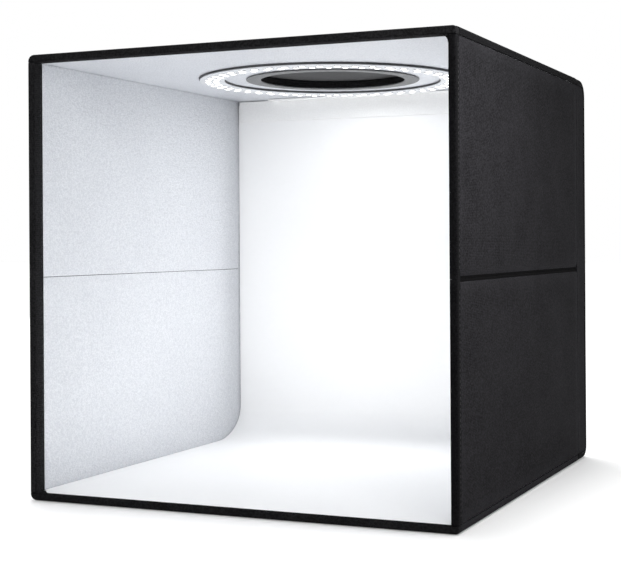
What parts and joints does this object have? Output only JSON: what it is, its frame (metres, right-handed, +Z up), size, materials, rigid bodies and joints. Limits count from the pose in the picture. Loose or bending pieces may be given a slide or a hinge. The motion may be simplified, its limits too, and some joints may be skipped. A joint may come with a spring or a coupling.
{
  "type": "light tent cube",
  "caption": "Foldable fabric light cube: open front, folding side walls, LED ring and camera port in the roof, sweep backdrop and hinged rear tray",
  "frame": {"origin": "centre of the footprint, on the surface the cube stands on", "axes": "X across the opening, front towards -Y, Z up"},
  "size_m": [0.305, 0.315, 0.3027],
  "materials": {
    "backdrop_hanger": "off-white hanging strip, matt",
    "backdrop_sheet": "white sheet, satin",
    "base_board": "black hollow plastic board",
    "base_lining": "silver pebbled reflective lining, satin",
    "base_skin": "black coated woven cloth, matt",
    "base_tape": "black woven edge tape, matt",
    "cable_grommet": "black moulded rubber, satin",
    "flap_border": "black woven edge tape, matt",
    "flap_hinge_tape": "black woven tape, matt",
    "flap_hook_back": "black hook pad",
    "flap_hook_front": "black hook pad",
    "flap_lining": "black felted lining, matt",
    "flap_loop_back": "black loop pad",
    "flap_loop_front": "black loop pad",
    "flap_skin": "black coated woven cloth, matt",
    "led_board": "white solder resist with pale chips",
    "led_carrier": "bare rolled sheet, satin",
    "left_fold_strip": "black woven strip, matt",
    "left_lower_board": "black hollow plastic board",
    "left_lower_lining": "silver pebbled reflective lining, satin",
    "left_lower_skin": "black coated woven cloth, matt",
    "left_lower_tape": "black woven edge tape, matt",
    "left_upper_board": "black hollow plastic board",
    "left_upper_lining": "silver pebbled reflective lining, satin",
    "left_upper_skin": "black coated woven cloth, matt",
    "left_upper_tape": "black woven edge tape, matt",
    "port_rim": "grey binding, matt",
    "port_sleeve": "black binding, matt",
    "rear_board": "black hollow plastic board",
    "rear_hinge_tape": "black woven tape, matt",
    "rear_lining": "silver pebbled reflective lining, satin",
    "rear_skin": "black coated woven cloth, matt",
    "right_fold_strip": "black woven strip, matt",
    "right_lower_board": "black hollow plastic board",
    "right_lower_lining": "silver pebbled reflective lining, satin",
    "right_lower_skin": "black coated woven cloth, matt",
    "right_lower_tape": "black woven edge tape, matt",
    "right_upper_board": "black hollow plastic board",
    "right_upper_lining": "silver pebbled reflective lining, satin",
    "right_upper_skin": "black coated woven cloth, matt",
    "right_upper_tape": "black woven edge tape, matt",
    "top_board": "black hollow plastic board",
    "top_lining": "silver pebbled reflective lining, satin",
    "top_skin": "black coated woven cloth, matt",
    "top_tape": "black woven edge tape, matt"
  },
  "bodies": {
    "base": {"base_skin": "base_skin", "base_board": "base_board", "base_lining": "base_lining", "base_tape": "base_tape", "backdrop_sheet": "backdrop_sheet"},
    "left_lower": {"left_lower_skin": "left_lower_skin", "left_lower_board": "left_lower_board", "left_lower_lining": "left_lower_lining", "left_lower_tape": "left_lower_tape", "left_fold_strip": "left_fold_strip"},
    "left_upper": {"left_upper_skin": "left_upper_skin", "left_upper_board": "left_upper_board", "left_upper_lining": "left_upper_lining", "left_upper_tape": "left_upper_tape"},
    "right_lower": {"right_lower_skin": "right_lower_skin", "right_lower_board": "right_lower_board", "right_lower_lining": "right_lower_lining", "right_lower_tape": "right_lower_tape", "right_fold_strip": "right_fold_strip"},
    "right_upper": {"right_upper_skin": "right_upper_skin", "right_upper_board": "right_upper_board", "right_upper_lining": "right_upper_lining", "right_upper_tape": "right_upper_tape"},
    "roof": {"top_skin": "top_skin", "top_board": "top_board", "top_lining": "top_lining", "top_tape": "top_tape", "port_rim": "port_rim", "port_sleeve": "port_sleeve", "led_carrier": "led_carrier", "led_board": "led_board", "cable_grommet": "cable_grommet", "flap_hinge_tape": "flap_hinge_tape", "flap_hook_front": "flap_hook_front", "flap_hook_back": "flap_hook_back", "rear_hinge_tape": "rear_hinge_tape", "backdrop_hanger": "backdrop_hanger"},
    "port_flap": {"flap_skin": "flap_skin", "flap_lining": "flap_lining", "flap_border": "flap_border", "flap_loop_front": "flap_loop_front", "flap_loop_back": "flap_loop_back"},
    "rear_tray": {"rear_skin": "rear_skin", "rear_board": "rear_board", "rear_lining": "rear_lining"}
  },
  "joints": [
    {"name": "left_lower_fold", "type": "hinge", "parent": "base", "child": "left_lower", "pos_m": [-0.1475, 0, 0.0058], "axis": [0, 1, 0], "range_deg": [0, 86], "deforming": ["backdrop_sheet"]},
    {"name": "left_middle_fold", "type": "hinge", "parent": "left_lower", "child": "left_upper", "pos_m": [-0.15265, 0, 0.15], "axis": [0, -1, 0], "range_deg": [0, 172]},
    {"name": "left_roof_fold", "type": "hinge", "parent": "left_upper", "child": "roof", "pos_m": [-0.1475, 0, 0.2942], "axis": [0, 1, 0], "range_deg": [0, 86]},
    {"name": "right_lower_fold", "type": "hinge", "parent": "base", "child": "right_lower", "pos_m": [0.1475, 0, 0.0058], "axis": [0, -1, 0], "range_deg": [0, 86]},
    {"name": "right_middle_fold", "type": "hinge", "parent": "right_lower", "child": "right_upper", "pos_m": [0.15265, 0, 0.15], "axis": [0, 1, 0], "range_deg": [0, 172]},
    {"name": "port_flap_hinge", "type": "hinge", "parent": "roof", "child": "port_flap", "pos_m": [-0.072, 0.018, 0.3027], "axis": [0, -1, 0], "range_deg": [0, 175]},
    {"name": "rear_tray_hinge", "type": "hinge", "parent": "roof", "child": "rear_tray", "pos_m": [0, 0.12985, 0.3], "axis": [1, 0, 0], "range_deg": [0, 175]}
  ],
  "couplings": [
    {"joint": "left_middle_fold", "follows": "left_lower_fold", "ratio": 2},
    {"joint": "left_roof_fold", "follows": "left_lower_fold", "ratio": 1},
    {"joint": "right_lower_fold", "follows": "left_lower_fold", "ratio": 1},
    {"joint": "right_middle_fold", "follows": "left_lower_fold", "ratio": 2}
  ]
}
